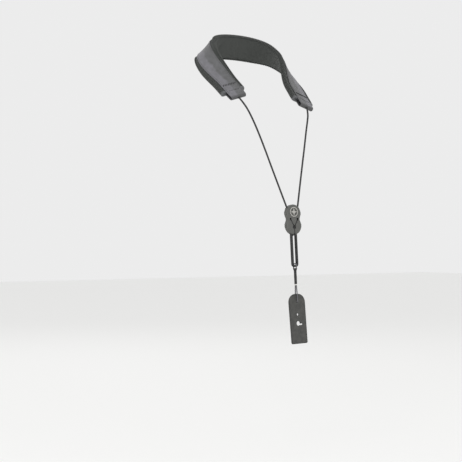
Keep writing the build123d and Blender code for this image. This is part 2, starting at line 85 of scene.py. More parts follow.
world = bpy.data.worlds.new("studio_air")
world.use_nodes = True
world.node_tree.nodes["Background"].inputs["Color"].default_value = (1.0, 1.0, 1.0, 1)
world.node_tree.nodes["Background"].inputs["Strength"].default_value = STUDIO_AIR
bpy.context.scene.world = world


def new_material(name):
    """A material with its node tree and its shader's inputs."""
    material = bpy.data.materials.new(name)
    material.use_nodes = True
    tree = material.node_tree
    return material, tree, tree.nodes["Principled BSDF"].inputs


sweep = bmesh.new()
bmesh.ops.create_grid(sweep, x_segments=1, y_segments=1, size=FLOOR_REACH)
bmesh.ops.translate(sweep, verts=sweep.verts, vec=(0, 0, cad_box[0][2] - FLOOR_DROP))
sweep_mesh = bpy.data.meshes.new("studio_floor")
sweep.to_mesh(sweep_mesh)
sweep.free()
studio_floor = bpy.data.objects.new("studio_floor", sweep_mesh)
bpy.context.collection.objects.link(studio_floor)
paper, _, paper_shader = new_material("pale_paper")
paper_shader["Base Color"].default_value = PAPER_WHITE
paper_shader["Roughness"].default_value = 0.9
studio_floor.data.materials.append(paper)


def softbox(name, place, size, watts):
    """A square area light that faces the strap."""
    data = bpy.data.lights.new(name, "AREA")
    data.size = size
    data.energy = watts
    light = bpy.data.objects.new(name, data)
    light.location = place
    light.rotation_euler = (CAMERA_AIM - Vector(place)).to_track_quat("-Z", "Y").to_euler()
    bpy.context.collection.objects.link(light)


softbox("key_light", (-1.6, -1.5, 0.9), 1.1, 13)
softbox("fill_light", (1.3, -1.6, 0.3), 1.4, 3)
softbox("back_light", (0.6, 1.6, 1.0), 1.0, 3)

# ---- neck cords ----
# Black round braid, 2.4 mm thick, one cord each side. Each comes out of the band's folded end,
# lies over the collarbone and runs taut into the slider's shoulder.
MM = 0.001
CORD_RADIUS = 1.22 * MM
CORD_RING = 18
DOME_SHARES = (0.4, 0.75, 0.95)
RIGHT_PIVOT = (-54.78, -91.54, -82.36)
LEFT_PIVOT = (52.81, -101.86, -91.62)
LEFT_MOUTH = (9.19, -136.3, -230.2)
RIGHT_MOUTH = (-9.19, -136.3, -230.2)
RIGHT_ROUTE = [
    RIGHT_PIVOT, (-51.6, -99.5, -91.5), (-47.2, -105.6, -104.5), (-42.0, -111.2, -121.0),
    (-34.5, -117.8, -146.0), (-24.5, -125.2, -180.0), RIGHT_MOUTH,
]
LEFT_ROUTE = [
    LEFT_PIVOT, (50.6, -107.0, -99.5), (46.9, -110.2, -110.0), (42.2, -113.2, -124.0),
    (34.7, -118.8, -148.0), (24.5, -125.4, -181.0), LEFT_MOUTH,
]


def new_piece(name, mesh_work, material):
    """Turn finished bmesh work into an object, its faces outwards, with its material."""
    bmesh.ops.recalc_face_normals(mesh_work, faces=mesh_work.faces)
    mesh = bpy.data.meshes.new(name)
    mesh_work.to_mesh(mesh)
    mesh_work.free()
    piece = bpy.data.objects.new(name, mesh)
    bpy.context.collection.objects.link(piece)
    mesh.materials.append(material)
    mesh.polygons.foreach_set("use_smooth", [True] * len(mesh.polygons))
    return piece


def smooth_line(name, points, fineness=14):
    """The smooth curve that a route's points control, as a list of points in metres."""
    data = bpy.data.curves.new(name, "CURVE")
    data.dimensions = "3D"
    data.resolution_u = fineness
    spline = data.splines.new("NURBS")
    spline.points.add(len(points) - 1)
    for point, place in zip(spline.points, points):
        point.co = (*(Vector(place) * MM), 1)
    spline.order_u = 3
    spline.use_endpoint_u = True
    holder = bpy.data.objects.new(name, data)
    line = bpy.data.meshes.new_from_object(holder)
    path = [vertex.co.copy() for vertex in line.vertices]
    bpy.data.objects.remove(holder)
    bpy.data.meshes.remove(line)
    return path


def path_length(path):
    """The length of a line of points."""
    return sum((b - a).length for a, b in zip(path, path[1:]))


def rolled_grid(work, along, around, place, uv_size=(1.0, 1.0)):
    """A grid rolled into a tube and closed: place(i, j) puts the point i along, j around it."""
    uv = work.loops.layers.uv.verify()
    rows = work.verts.layers.int.get("row") or work.verts.layers.int.new("row")
    columns = work.verts.layers.int.get("column") or work.verts.layers.int.new("column")
    verts = bmesh.ops.create_grid(work, x_segments=along, y_segments=around, size=1.0)["verts"]
    faces = {face for vert in verts for face in vert.link_faces}
    for face in faces:
        for corner in face.loops:
            x, y = corner.vert.co.x, corner.vert.co.y
            corner[uv].uv = ((y + 1) / 2 * uv_size[0], (x + 1) / 2 * uv_size[1])
    for vert in verts:
        i = round((vert.co.x + 1) / 2 * along)
        j = round((vert.co.y + 1) / 2 * around) % around
        vert[rows], vert[columns] = i, j
        vert.co = place(i, j)
    edges = {edge for vert in verts for edge in vert.link_edges}
    bmesh.ops.remove_doubles(work, verts=verts, dist=1e-7)
    rims = [edge for edge in edges if edge.is_valid and edge.is_boundary]
    bmesh.ops.holes_fill(work, edges=rims)


def draw_tube(work, path, radius, ring, round_start=False, round_end=False):
    """A round tube along a path, with its ends domed where asked."""
    ways = []
    for k in range(len(path)):
        before, after = path[max(k - 1, 0)], path[min(k + 1, len(path) - 1)]
        ways.append((after - before).normalized())
    side = ways[0].orthogonal().normalized()
    stops = []
    for k, centre in enumerate(path):
        side = (ways[max(k - 1, 0)].rotation_difference(ways[k]) @ side).normalized()
        stops.append((centre, side, ways[k].cross(side), radius))
    for share in DOME_SHARES:
        size = radius * sqrt(1 - share * share)
        if round_start:
            centre, side, up, _ = stops[0]
            stops.insert(0, (path[0] - ways[0] * radius * share, side, up, size))
        if round_end:
            centre, side, up, _ = stops[-1]
            stops.append((path[-1] + ways[-1] * radius * share, side, up, size))
    length = path_length([stop[0] for stop in stops])

    def place(i, j):
        centre, side, up, size = stops[i]
        turn = tau * j / ring
        return centre + (side * cos(turn) + up * sin(turn)) * size

    rolled_grid(work, len(stops) - 1, ring, place, (1.0, length / (tau * radius)))


def feed(tree, socket, value):
    """Link an input to another node's output, or set it to a number or colour."""
    if isinstance(value, bpy.types.NodeSocket):
        tree.links.new(value, socket)
    elif isinstance(value, tuple):
        socket.default_value = (*value, 1)
    else:
        socket.default_value = value


def calculate(tree, operation, *values):
    """A Math node fed by sockets or plain numbers; returns its output."""
    node = tree.nodes.new("ShaderNodeMath")
    node.operation = operation
    for socket, value in zip(node.inputs, values):
        feed(tree, socket, value)
    return node.outputs[0]


def mix_colours(tree, share, first, second, blend="MIX"):
    """A Mix node from the first colour to the second; returns its result."""
    node = tree.nodes.new("ShaderNodeMix")
    node.data_type = "RGBA"
    node.blend_type = blend
    for name, value in (("Factor", share), ("A", first), ("B", second)):
        feed(tree, node.inputs[name], value)
    return node.outputs["Result"]


def noise_value(tree, where, scale, detail, roughness=0.5):
    """A noise texture's value at the given coordinates."""
    node = tree.nodes.new("ShaderNodeTexNoise")
    feed(tree, node.inputs["Vector"], where)
    feed(tree, node.inputs["Scale"], scale)
    feed(tree, node.inputs["Detail"], detail)
    feed(tree, node.inputs["Roughness"], roughness)
    return node.outputs["Fac"]


def surface_coordinates(tree):
    """The piece's own UV coordinates, whole and as X and Y."""
    where = tree.nodes.new("ShaderNodeUVMap").outputs["UV"]
    split = tree.nodes.new("ShaderNodeSeparateXYZ")
    tree.links.new(where, split.inputs[0])
    return where, split.outputs["X"], split.outputs["Y"]


def ridges(tree, run):
    """Rounded ridges side by side, one for each unit of the run: 0 between them, 1 on top."""
    swing = calculate(tree, "SINE", calculate(tree, "MULTIPLY", run, pi))
    return calculate(tree, "ABSOLUTE", swing)


def shader_group(name, takes, gives):
    """A shader group with its inputs and outputs; returns it with the sockets inside it."""
    group = bpy.data.node_groups.new(name, "ShaderNodeTree")
    for word, default in takes.items():
        kind = "Color" if isinstance(default, tuple) else "Float"
        socket = group.interface.new_socket(
            name=word, in_out="INPUT", socket_type=f"NodeSocket{kind}"
        )
        socket.default_value = (*default, 1) if kind == "Color" else default
    for word in gives:
        kind = "Color" if word == "Color" else "Float"
        group.interface.new_socket(name=word, in_out="OUTPUT", socket_type=f"NodeSocket{kind}")
    taken = group.nodes.new("NodeGroupInput").outputs
    return group, taken, group.nodes.new("NodeGroupOutput").inputs


def place_group(tree, group, values):
    """Place a shader group in a material with its own values; returns its outputs."""
    node = tree.nodes.new("ShaderNodeGroup")
    node.node_tree = group
    for name, value in values.items():
        feed(tree, node.inputs[name], value)
    return node.outputs


def finish_shader(tree, shader, colour, roughness, height, bump_strength, bump_depth):
    """Feed a shader its colour and roughness, and its normal from a height."""
    feed(tree, shader["Base Color"], colour)
    feed(tree, shader["Roughness"], roughness)
    bump = tree.nodes.new("ShaderNodeBump")
    bump.inputs["Strength"].default_value = bump_strength
    bump.inputs["Distance"].default_value = bump_depth
    feed(tree, bump.inputs["Height"], height)
    feed(tree, shader["Normal"], bump.outputs["Normal"])


# Braid seen on the neck cords, the loop and the link cord: strands wind both ways and pass
# over and under each other.
braid, taken, given = shader_group(
    "round_braid",
    {"Strands": 6.0, "Thread": (0.03, 0.03, 0.03), "Gap": (0.005, 0.005, 0.005)},
    ("Color", "Height", "Roughness"),
)
where, uv_x, uv_y = surface_coordinates(braid)
around = calculate(braid, "MULTIPLY", uv_x, taken["Strands"])
climb = calculate(braid, "MULTIPLY", uv_y, taken["Strands"])
left_hand = calculate(braid, "ADD", around, climb)
right_hand = calculate(braid, "SUBTRACT", around, climb)
cells = calculate(braid, "ADD", calculate(braid, "FLOOR", left_hand),
                  calculate(braid, "FLOOR", right_hand))
left_on_top = calculate(braid, "FLOORED_MODULO", cells, 2.0)
right_on_top = calculate(braid, "SUBTRACT", 1.0, left_on_top)
left_crest = calculate(braid, "MULTIPLY", ridges(braid, left_hand), left_on_top)
right_crest = calculate(braid, "MULTIPLY", ridges(braid, right_hand), right_on_top)
height = calculate(braid, "ADD", left_crest, right_crest)
fibres = noise_value(braid, where, 34.0, 3.0)
fuzz = calculate(braid, "MULTIPLY", fibres, 0.35)
feed(braid, given["Height"], calculate(braid, "ADD", height, fuzz))
# Painted shade: low places between the strands take the dark Gap colour, the strands' tops the
# Thread colour.
lit = calculate(braid, "POWER", height, 0.6)
feed(braid, given["Color"], mix_colours(braid, lit, taken["Gap"], taken["Thread"]))
feed(braid, given["Roughness"], calculate(braid, "MULTIPLY_ADD", fibres, 0.3, 0.45))


def braided_material(name, thread, gap, strands, sheen):
    """Braid in its own two colours, with as many strands as run round the cord."""
    material, tree, shader = new_material(name)
    pattern = place_group(tree, braid, {"Strands": strands, "Thread": thread, "Gap": gap})
    finish_shader(tree, shader, pattern["Color"], pattern["Roughness"], pattern["Height"],
                  0.7, 0.0002)
    shader["Sheen Weight"].default_value = sheen
    return material


cord_braid = braided_material(
    "black_cord_braid", (0.026, 0.026, 0.027), (0.004, 0.004, 0.004), 6.0, 0.06
)


def braided_tube(name, path, radius, material, round_start=False, round_end=False, ring=CORD_RING):
    """A piece that is one braided tube along a path."""
    work = bmesh.new()
    draw_tube(work, path, radius, ring, round_start, round_end)
    return new_piece(name, work, material)


def declare_cord(path):
    """Read a path's first point and its length; nothing is kept or set."""
    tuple(path[0])
    path_length(path)


for word, route, node in (
    ("right", RIGHT_ROUTE, "right_neck_cord"), ("left", LEFT_ROUTE, "left_neck_cord")
):
    path = smooth_line(f"{word}_cord_line", route, 22)
    piece = braided_tube(f"{word}_braided_neck_cord", path, CORD_RADIUS, cord_braid, True)
    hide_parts(node)
    declare_cord(path)
    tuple(path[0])
    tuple(path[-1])
    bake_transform(piece)

# ---- doubled loop ----
# The same two black braided cords, side by side. They leave the slider's foot, go round the
# link and come back up, so the loop shortens as the slider goes down.
CHAIN_TOP = Vector((0, -136, -226.3))
CHAIN_LEAN = radians(4.5)
LOOP_HALF_WIDTH = 3.7
LOOP_OFFSET = 1.27
LOOP_TOP = -35.8
LOOP_BOTTOM = -83.4
LOOP_TURN = 7.4


def on_chain(x, y, z):
    """A place in the slider's leaning frame, as a place in the strap's frame, in millimetres."""
    back = Vector((0, cos(CHAIN_LEAN), -sin(CHAIN_LEAN)))
    up = Vector((0, sin(CHAIN_LEAN), cos(CHAIN_LEAN)))
    return CHAIN_TOP + Vector((x, 0, 0)) + back * y + up * z


for word, face in (("front", -1), ("back", 1)):
    y, half = face * LOOP_OFFSET, LOOP_HALF_WIDTH
    route = [
        on_chain(-half, y, LOOP_TOP), on_chain(-half, y, LOOP_BOTTOM + LOOP_TURN),
        on_chain(-half, y, LOOP_BOTTOM), on_chain(half, y, LOOP_BOTTOM),
        on_chain(half, y, LOOP_BOTTOM + LOOP_TURN), on_chain(half, y, LOOP_TOP),
    ]
    path = smooth_line(f"{word}_loop_line", route, 20)
    piece = braided_tube(f"{word}_braided_loop", path, CORD_RADIUS, cord_braid)
    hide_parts(f"{word}_loop_cord")
    declare_cord(path)
    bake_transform(piece)

# ---- link cord ----
# Thin grey braid, 1.6 mm thick: up through the tab's hole, round both loops and back down, with
# its two strands held together by the sleeve.
LINK_RADIUS = 0.8 * MM
LINK_EYE = 3.41
LINK_HOLE = -132.1
TAB_TOP = -120.7
TAB_SIDE = 1.95
STRAND_GAP = 1.12
SLEEVE_TOP = -89.0
SLEEVE_BOTTOM = -107.6
link_half = [
    (TAB_SIDE, LINK_HOLE), (TAB_SIDE, LINK_HOLE + 2.5), (TAB_SIDE, TAB_TOP + 1),
    (STRAND_GAP, SLEEVE_BOTTOM - 2.9), (STRAND_GAP, SLEEVE_BOTTOM + 2),
    (STRAND_GAP, SLEEVE_TOP - 2), (STRAND_GAP, SLEEVE_TOP + 1.2),
    (LINK_EYE, LOOP_BOTTOM - 1.7), (LINK_EYE, LOOP_BOTTOM + LINK_EYE),
]
link_route = [on_chain(0, 0, LINK_HOLE)]
link_route += [on_chain(0, -y, z) for y, z in link_half]
link_route += [on_chain(0, y, z) for y, z in reversed(link_half)]
link_route += [on_chain(0, 0, LINK_HOLE)]
link_braid = braided_material(
    "grey_link_braid", (0.15, 0.147, 0.16), (0.04, 0.04, 0.042), 5.0, 0.1
)
path = smooth_line("link_line", link_route, 12)
link_cord = braided_tube("braided_link_cord", path, LINK_RADIUS, link_braid, ring=14)
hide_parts("link_cord")
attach(link_cord, "link")
declare_cord(path)

# ---- foam core ----
# Closed-cell foam, 4.2 mm thick, cut to the band's shape and set back from both ends to leave
# room for the strip's sewn-in legs. It lies loose between the lining and the cover.
SIDE_POINT = Vector((57.5, -16.5, -15))
SIDE_TANGENT = Vector((0.45, -0.68, -0.56)).normalized()
FRONT_TANGENT = Vector((-0.14, -0.735, -0.66)).normalized()
NAPE_TANGENT = Vector((1, 0, 0))
NAPE_ACROSS = Vector((0, 0.45, -0.89))
SIDE_ACROSS = Vector((0.56, 0.42, -0.71))
FRONT_ACROSS = Vector((0.96, 0.10, -0.25))
FRONT_START = Vector((55, -81, -79)) - FRONT_TANGENT * 20
SIDE_SHARE = 0.4725
RIGHT_STRAIGHT = 13.0
LEFT_STRAIGHT = 27.0
BAND_STEP = 1.7
FOAM_HALF_WIDTH = 16.4
FOAM_FACES = (1.3, 5.1)
FOAM_ROUNDING = 1.2
FOAM_SETBACK = 9


def measure_half_line(samples=600):
    """The band's middle line from the nape to its straight end: length so far, point and way.

    It is a smooth curve through three points, each pulled along its own direction with the
    strength that a parabola through all three has there.
    """
    knots = [Vector((0, 0, 0)), SIDE_POINT, FRONT_START]
    ways = [NAPE_TANGENT, SIDE_TANGENT, FRONT_TANGENT]
    reach = [0, (knots[1] - knots[0]).length]
    reach.append(reach[1] + (knots[2] - knots[1]).length)
    speeds = []
    for here in reach:
        pull = Vector((0, 0, 0))
        for i in range(3):
            j, k = [other for other in range(3) if other != i]
            spans = (reach[i] - reach[j]) * (reach[i] - reach[k])
            pull += knots[i] * ((2 * here - reach[j] - reach[k]) / spans)
        speeds.append(pull.length)
    line = []
    for sample in range(samples + 1):
        here = reach[2] * sample / samples
        k = 0 if here < reach[1] else 1
        span = reach[k + 1] - reach[k]
        t = (here - reach[k]) / span
        start_pull, end_pull = ways[k] * speeds[k] * span, ways[k + 1] * speeds[k + 1] * span
        point = knots[k] * (2 * t**3 - 3 * t**2 + 1) + start_pull * (t**3 - 2 * t**2 + t)
        point += knots[k + 1] * (3 * t**2 - 2 * t**3) + end_pull * (t**3 - t**2)
        line.append(point)
    table = [(0.0, line[0], NAPE_TANGENT)]
    for k in range(1, len(line)):
        ahead = line[min(k + 1, len(line) - 1)]
        table.append((table[-1][0] + (line[k] - line[k - 1]).length, line[k],
                      (ahead - line[k - 1]).normalized()))
    return table


HALF_LINE = measure_half_line()
HALF_LENGTH = HALF_LINE[-1][0]
RIGHT_END = -HALF_LENGTH - RIGHT_STRAIGHT
LEFT_END = HALF_LENGTH + LEFT_STRAIGHT
band_frames = {}


def eased_mix(first, second, share):
    """A mix of two directions that starts and stops softly."""
    eased = share * share * (3 - 2 * share)
    return first * (1 - eased) + second * eased


def band_frame(along):
    """Point, across and outward directions at a signed distance from the nape."""
    key = round(along, 4)
    if key in band_frames:
        return band_frames[key]
    run = min(abs(along), HALF_LENGTH)
    place = run / HALF_LENGTH * (len(HALF_LINE) - 1)
    low = max(0, min(int(place) - 3, len(HALF_LINE) - 2))
    while low < len(HALF_LINE) - 2 and HALF_LINE[low + 1][0] < run:
        low += 1
    while low > 0 and HALF_LINE[low][0] > run:
        low -= 1
    t = (run - HALF_LINE[low][0]) / (HALF_LINE[low + 1][0] - HALF_LINE[low][0])
    point = HALF_LINE[low][1].lerp(HALF_LINE[low + 1][1], t)
    way = HALF_LINE[low][2].lerp(HALF_LINE[low + 1][2], t).normalized()
    share = run / HALF_LENGTH
    if share < SIDE_SHARE:
        across = eased_mix(NAPE_ACROSS, SIDE_ACROSS, share / SIDE_SHARE)
    else:
        across = eased_mix(SIDE_ACROSS, FRONT_ACROSS, (share - SIDE_SHARE) / (1 - SIDE_SHARE))
    across = (across - way * across.dot(way)).normalized()
    outward = way.cross(across).normalized()
    if abs(along) > HALF_LENGTH:
        point = FRONT_START + FRONT_TANGENT * (abs(along) - HALF_LENGTH)
    if along < 0:
        point, across, outward = (Vector((-v.x, v.y, v.z)) for v in (point, across, outward))
    band_frames[key] = (point, across, outward)
    return band_frames[key]


def on_band(along, across, out):
    """A place laid out flat, in millimetres, put onto the curved band, in metres."""
    point, across_way, outward = band_frame(along)
    return (point + across_way * across + outward * out) * MM


def rounded_outline(half_width, low, high, rounding, steps_wide):
    """Points round a flat layer's section, as (across, out), its corners rounded."""
    outline = []
    corner_steps = 4
    for corner, (sign_w, level, start) in enumerate(
        ((1, low, -90), (1, high, 0), (-1, high, 90), (-1, low, 180))
    ):
        centre_w = sign_w * (half_width - rounding)
        centre_h = level + rounding if level == low else level - rounding
        for k in range(corner_steps + 1):
            turn = radians(start + 90 * k / corner_steps)
            outline.append((centre_w + rounding * cos(turn), centre_h + rounding * sin(turn)))
        if corner in (1, 3):
            first = outline[-1][0]
            for k in range(1, steps_wide):
                outline.append((first * (1 - 2 * k / steps_wide), level))
    return outline


def rolled_piece(name, along, around, place, material, uv_size=(1.0, 1.0)):
    """A piece made of one rolled grid."""
    work = bmesh.new()
    rolled_grid(work, along, around, place, uv_size)
    return new_piece(name, work, material)


def band_body(name, start, end, outline, material, end_taper):
    """A closed body along the band with one section all the way."""
    steps = max(2, round((end - start) / BAND_STEP))
    girth = sum(
        sqrt((a[0] - b[0]) ** 2 + (a[1] - b[1]) ** 2)
        for a, b in zip(outline, outline[1:] + outline[:1])
    )
    middle = sum(point[1] for point in outline) / len(outline)

    def place(i, j):
        across, out = outline[j]
        along = start + (end - start) * i / steps
        if i in (0, steps):
            out = middle + (out - middle) * (1 - end_taper)
        return on_band(along, across, out)

    return rolled_piece(name, steps, len(outline), place, material, (girth, end - start))


def object_coordinates(tree):
    """Coordinates in metres, fixed to the piece."""
    return tree.nodes.new("ShaderNodeTexCoord").outputs["Object"]


def grainy_material(name, colour, other, scale, bump_depth, rough):
    """Colour and grain from fine noise on the piece's own coordinates."""
    material, tree, shader = new_material(name)
    grain = noise_value(tree, object_coordinates(tree), scale, 4.0)
    roughness = calculate(tree, "MULTIPLY_ADD", grain, 0.2, rough - 0.1)
    colour = mix_colours(tree, grain, colour, other)
    finish_shader(tree, shader, colour, roughness, grain, 0.6, bump_depth)
    return material


foam_cells = grainy_material(
    "foam_cells", (0.03, 0.03, 0.03), (0.07, 0.07, 0.07), 2600, 0.0002, 0.9
)
foam_outline = rounded_outline(FOAM_HALF_WIDTH, *FOAM_FACES, FOAM_ROUNDING, 12)
foam_core = band_body(
    "foam_core", RIGHT_END + FOAM_SETBACK, LEFT_END - FOAM_SETBACK, foam_outline, foam_cells, 0.3
)
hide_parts("pad_foam")
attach(foam_core, "neck_band")

# ---- knitted cover and lining ----
# Warp-knitted spacer fabric, dark grey-green with paler flecks where light comes through its
# loops. Cover and lining close round the foam and puff a little beside the sewn-on strip.
COVER_HALF_WIDTH = 17.7
COVER_FACES = (0.5, 6.3)
COVER_ROUNDING = 2.6
COVER_SETBACK = 0.3
SEAM_WIDTH = 1.2
STRIP_HALF_WIDTH = 12.5
SWELL_PRESSURE = 6.0
SWELL_LIMIT = 0.9 * MM
SWELL_FRAMES = 20

knit, taken, given = shader_group(
    "spacer_knit",
    {"Wale pitch": 0.9, "Course pitch": 0.8,
     "Yarn": (0.075, 0.08, 0.075), "Shade": (0.018, 0.02, 0.018)},
    ("Color", "Height"),
)
where, uv_x, uv_y = surface_coordinates(knit)
wander = noise_value(knit, where, 0.5, 2.0)
shift = calculate(knit, "MULTIPLY_ADD", wander, 0.9, -0.45)
wale = calculate(knit, "DIVIDE", calculate(knit, "ADD", uv_x, shift), taken["Wale pitch"])
from_middle = calculate(knit, "SUBTRACT", calculate(knit, "FRACT", wale), 0.5)
from_middle = calculate(knit, "ABSOLUTE", from_middle)
course = calculate(knit, "DIVIDE", calculate(knit, "ADD", uv_y, shift), taken["Course pitch"])
leg = ridges(knit, calculate(knit, "MULTIPLY_ADD", from_middle, 1.4, course))
edge_fade = calculate(knit, "POWER", calculate(knit, "MULTIPLY", from_middle, 2.0), 3.0)
loop_height = calculate(knit, "MULTIPLY", leg, calculate(knit, "SUBTRACT", 1.0, edge_fade))
fluff = noise_value(knit, where, 2.4, 5.0, 0.7)
loop_height = calculate(knit, "MULTIPLY_ADD", fluff, 0.5, loop_height)
feed(knit, given["Height"], loop_height)
fleck = calculate(knit, "POWER", calculate(knit, "MULTIPLY", loop_height, 0.75), 1.6)
feed(knit, given["Color"], mix_colours(knit, fleck, taken["Shade"], taken["Yarn"]))


def swell(piece, held, pressure, limit):
    """Inflate a closed cloth against its held points, then keep each point within the limit."""
    rest = [vertex.co.copy() for vertex in piece.data.vertices]
    pins = piece.vertex_groups.new(name="sewn_down")
    for number, weight in enumerate(held):
        if weight > 0:
            pins.add([number], weight, "REPLACE")
    cloth = piece.modifiers.new("cloth", "CLOTH")
    cloth.settings.vertex_group_mass = "sewn_down"
    cloth.settings.use_pressure = True
    cloth.settings.uniform_pressure_force = pressure
    cloth.settings.mass = 0.02
    cloth.settings.quality = 8
    cloth.settings.effector_weights.gravity = 0
    cloth.collision_settings.use_collision = False
    cloth.collision_settings.use_self_collision = False
    cloth.point_cache.frame_start = 1
    cloth.point_cache.frame_end = SWELL_FRAMES
    for number in range(1, SWELL_FRAMES + 1):
        bpy.context.scene.frame_set(number)
    graph = bpy.context.evaluated_depsgraph_get()
    swollen = piece.evaluated_get(graph).data
    moves = [swollen.vertices[k].co - rest[k] for k in range(len(rest))]
    piece.modifiers.remove(cloth)
    piece.vertex_groups.remove(pins)
    bpy.context.scene.frame_set(1)
    for vertex, move, start in zip(piece.data.vertices, moves, rest):
        if move.length > limit:
            move = move * (limit / move.length)
        vertex.co = start + move
    piece.data.update()


cover_knit, tree, shader = new_material("cover_knit")
pattern = place_group(tree, knit, {
    "Wale pitch": 1.1, "Course pitch": 0.95,
    "Yarn": (0.088, 0.095, 0.088), "Shade": (0.02, 0.022, 0.02),
})
finish_shader(tree, shader, pattern["Color"], 0.85, pattern["Height"], 0.8, 0.0003)
shader["Sheen Weight"].default_value = 0.1
shader["Sheen Roughness"].default_value = 0.5

cover_outline = rounded_outline(COVER_HALF_WIDTH, *COVER_FACES, COVER_ROUNDING, 22)
knit_cover = band_body(
    "knitted_cover_and_lining", RIGHT_END + COVER_SETBACK, LEFT_END - COVER_SETBACK,
    cover_outline, cover_knit, 0.08
)
columns = [value.value for value in knit_cover.data.attributes["column"].data]
rows = [value.value for value in knit_cover.data.attributes["row"].data]
sewn = []
for row, column in zip(rows, columns):
    across, out = cover_outline[column]
    under_strip = out > 5 and abs(across) < STRIP_HALF_WIDTH
    in_seam = abs(across) > COVER_HALF_WIDTH - SEAM_WIDTH
    at_end = row < 2 or row > max(rows) - 2
    sewn.append(1.0 if under_strip or in_seam or at_end else 0.0)
swell(knit_cover, sewn, SWELL_PRESSURE, SWELL_LIMIT)
smoother = knit_cover.modifiers.new("smoother", "SUBSURF")
smoother.levels = 1
smoother.render_levels = 1
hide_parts("pad_cover", "pad_lining")
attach(knit_cover, "neck_band")

# ---- overlocked edges ----
# Both long edges are overlocked: a close row of thread loops wraps from face to face over a
# corded edge, and gives the band its finely notched outline.
EDGE_MIDDLE = 17.3
PAD_MIDDLE_OUT = 3.3
EDGE_CORD_SIZES = (0.85, 3.2)
EDGE_NOTCH = 0.08
EDGE_RING = 12
EDGE_SETBACK = 0.2
THREAD_RADIUS = 0.42
THREAD_RING = 6
THREAD_PITCH = 2.1
THREAD_LEAN = 0.45
THREAD_REACH = 3.45
THREAD_INNER_REACHES = (2.3, 2.65)
LOOP_BENDS = 10
LOOP_HALF_WRAP = 112

thread_twist, taken, given = shader_group(
    "twisted_thread", {"Turns": 1.0, "Thread": (0.05, 0.05, 0.05)}, ("Color", "Height")
)
strand = thread_twist.nodes.new("ShaderNodeTexWave")
strand.bands_direction = "DIAGONAL"
strand.inputs["Distortion"].default_value = 2.0
feed(thread_twist, strand.inputs["Vector"], object_coordinates(thread_twist))
twists = calculate(thread_twist, "MULTIPLY", taken["Turns"], 900.0)
feed(thread_twist, strand.inputs["Scale"], twists)
# Painted shade: the twist's grooves are mixed towards near-black, its ridges keep the thread's
# colour.
lit = calculate(thread_twist, "MULTIPLY_ADD", strand.outputs["Fac"], 0.6, 0.4)
twist_colour = mix_colours(thread_twist, lit, (0.012, 0.012, 0.012), taken["Thread"])
feed(thread_twist, given["Color"], twist_colour)
feed(thread_twist, given["Height"], strand.outputs["Fac"])


def thread_material(name, colour, turns, rough):
    """Twisted sewing thread in its own colour."""
    material, tree, shader = new_material(name)
    pattern = place_group(tree, thread_twist, {"Turns": turns, "Thread": colour})
    finish_shader(tree, shader, pattern["Color"], rough, pattern["Height"], 0.5, 0.0001)
    return material


def edge_cord_point(start, run, steps, way, i, j):
    """A point on the soft cord under the thread, slightly notched at the thread's pitch."""
    along = start + run * i / steps
    notch = EDGE_NOTCH * cos(tau * along / THREAD_PITCH)
    turn = tau * j / EDGE_RING
    wide, tall = EDGE_CORD_SIZES
    across = way * (EDGE_MIDDLE + (wide + notch) * cos(turn))
    return on_band(along, across, PAD_MIDDLE_OUT + (tall + notch) * sin(turn))


def thread_loop_point(along, way, reach, i, j):
    """A point on one thread loop, which wraps from face to face and leans a little."""
    wrap = radians(-LOOP_HALF_WRAP + 2 * LOOP_HALF_WRAP * i / LOOP_BENDS)
    turn = tau * j / THREAD_RING
    proud = THREAD_RADIUS * cos(turn)
    out = PAD_MIDDLE_OUT + (THREAD_REACH + proud) * sin(wrap)
    across = EDGE_MIDDLE + ((1.0 if cos(wrap) > 0 else reach) + proud) * cos(wrap)
    slip = THREAD_LEAN * sin(wrap)
    return on_band(along + slip + THREAD_RADIUS * sin(turn), way * across, out)


edge_thread = thread_material("edge_thread", (0.105, 0.112, 0.105), 1.0, 0.6)
edge_core = thread_material("edge_core", (0.03, 0.032, 0.03), 1.0, 0.8)
for word, way, node in (("upper", -1, "upper_edge_binding"), ("lower", 1, "lower_edge_binding")):
    start = RIGHT_END + EDGE_SETBACK
    run = LEFT_END - EDGE_SETBACK - start
    loops = round(run / THREAD_PITCH)
    steps = loops * 4
    cord_point = partial(edge_cord_point, start, run, steps, way)
    corded = rolled_piece(f"{word}_corded_edge", steps, EDGE_RING, cord_point, edge_core)
    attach(corded, "neck_band")
    work = bmesh.new()
    for number in range(loops):
        along = start + (number + 0.5) * THREAD_PITCH
        loop_point = partial(thread_loop_point, along, way, THREAD_INNER_REACHES[number % 2])
        rolled_grid(work, LOOP_BENDS, THREAD_RING, loop_point)
    overlock = new_piece(f"{word}_overlocked_edge", work, edge_thread)
    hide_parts(node)
    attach(overlock, "neck_band")

# ---- end bindings ----
# A folded satin tape closes each end of the pad. It is a little proud of both faces, and the
# strip's return leg goes in through it.
TAPE_LAP = 2.6
TAPE_HALF_WIDTH = 18.4
TAPE_FACES = (-0.35, 7.0)
TAPE_HALF_THICK = 3.65
TAPE_STOPS = (
    (-TAPE_LAP, 0.0), (-TAPE_LAP * 0.6, 0.0), (0.0, 0.0), (0.6, 0.15), (1.0, 0.5),
    (1.24, 1.1), (1.3, 1.8), (1.3, 2.6), (1.3, 3.4),
)
satin, tree, shader = new_material("satin_tape")
ribs = tree.nodes.new("ShaderNodeTexWave")
ribs.bands_direction = "X"
ribs.inputs["Scale"].default_value = 700
ribs.inputs["Distortion"].default_value = 1.0
feed(tree, ribs.inputs["Vector"], object_coordinates(tree))
rib_colour = mix_colours(tree, ribs.outputs["Fac"], (0.06, 0.063, 0.065), (0.13, 0.133, 0.14))
finish_shader(tree, shader, rib_colour, 0.38, ribs.outputs["Fac"], 0.4, 0.0001)
tape_outline = rounded_outline(TAPE_HALF_WIDTH, *TAPE_FACES, 2.2, 20)


